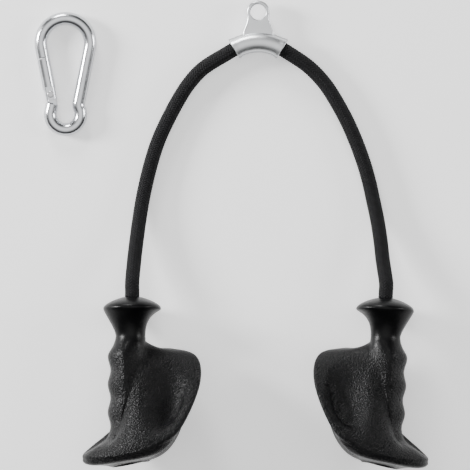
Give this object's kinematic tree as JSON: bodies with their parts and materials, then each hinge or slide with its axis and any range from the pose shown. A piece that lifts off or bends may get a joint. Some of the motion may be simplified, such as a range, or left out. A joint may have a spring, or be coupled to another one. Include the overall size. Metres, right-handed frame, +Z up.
{
  "type": "triceps rope attachment",
  "caption": "Cable pull-down rope: braided rope through a cast eye sleeve, with contoured palm-rest handles that turn on its ends, and a loose snap hook.",
  "frame": {"origin": "middle of the set's footprint, on the surface that it lies on", "axes": "+Z up from the surface, +Y from the handles to the eye, +X from the snap hook's side to the right handle"},
  "size_m": [0.318, 0.3792, 0.0676],
  "materials": {
    "moulded_rubber": "pebble grain, satin",
    "rubber_plug": "matte",
    "braided_rope": "braided, matte",
    "cast_aluminium": "satin, tumbled",
    "zinc_plated_steel": "bright",
    "spring_steel": "plain",
    "nylon_core": "plain",
    "crimp_aluminium": "pressed"
  },
  "bodies": {
    "sleeve": {"eye_sleeve": "cast_aluminium", "rope_in_sleeve": "braided_rope"},
    "left_arm": {"rope_left": "braided_rope", "rope_end_left": "braided_rope", "crimp_ferrule_left": "crimp_aluminium"},
    "left_handle": {"handle_left": "moulded_rubber", "core_tube_left": "nylon_core", "thrust_washer_left": "zinc_plated_steel", "end_plug_left": "rubber_plug"},
    "right_arm": {"rope_right": "braided_rope", "rope_end_right": "braided_rope", "crimp_ferrule_right": "crimp_aluminium"},
    "right_handle": {"handle_right": "moulded_rubber", "core_tube_right": "nylon_core", "thrust_washer_right": "zinc_plated_steel", "end_plug_right": "rubber_plug"},
    "snap_hook": {"snap_hook_body": "zinc_plated_steel", "gate_rivet": "spring_steel"},
    "gate": {"snap_hook_gate": "zinc_plated_steel", "gate_spring": "spring_steel"},
    "plunger": {"gate_plunger": "spring_steel"}
  },
  "joints": [
    {"name": "left_arm_flex", "type": "hinge", "parent": "sleeve", "child": "left_arm", "pos_m": [-0.02561, 0.13196, 0.0067], "axis": [0, 0, 1], "range_deg": [-35, 7], "deforming": ["rope_left"]},
    {"name": "left_handle_swivel", "type": "hinge", "parent": "left_arm", "child": "left_handle", "pos_m": [-0.07991, -0.05044, 0.02275], "axis": [0, 0.9973, -0.0735], "continuous": true},
    {"name": "right_arm_flex", "type": "hinge", "parent": "sleeve", "child": "right_arm", "pos_m": [0.06739, 0.13176, 0.0067], "axis": [0, 0, 1], "range_deg": [-7, 35], "deforming": ["rope_right"]},
    {"name": "right_handle_swivel", "type": "hinge", "parent": "right_arm", "child": "right_handle", "pos_m": [0.12489, -0.05144, 0.02275], "axis": [0.0435, 0.9963, -0.0735], "continuous": true},
    {"name": "snap_hook_lift", "type": "slide", "parent": "sleeve", "child": "snap_hook", "axis": [0, 0, 1], "range_m": [0, 0.12]},
    {"name": "gate_hinge", "type": "hinge", "parent": "snap_hook", "child": "gate", "pos_m": [-0.14608, 0.1135, 0.005], "axis": [0, 0, -1], "range_deg": [0, 28], "stiffness_Nm_per_rad": 0.25, "springref_deg": -17.19},
    {"name": "gate_plunger_slide", "type": "slide", "parent": "gate", "child": "plunger", "axis": [-0.1958, 0.9806, 0], "range_m": [0, 0.000659], "deforming": ["gate_spring"]}
  ],
  "couplings": [
    {"joint": "gate_plunger_slide", "follows": "gate_hinge", "m_per_rad": 0.001329}
  ]
}
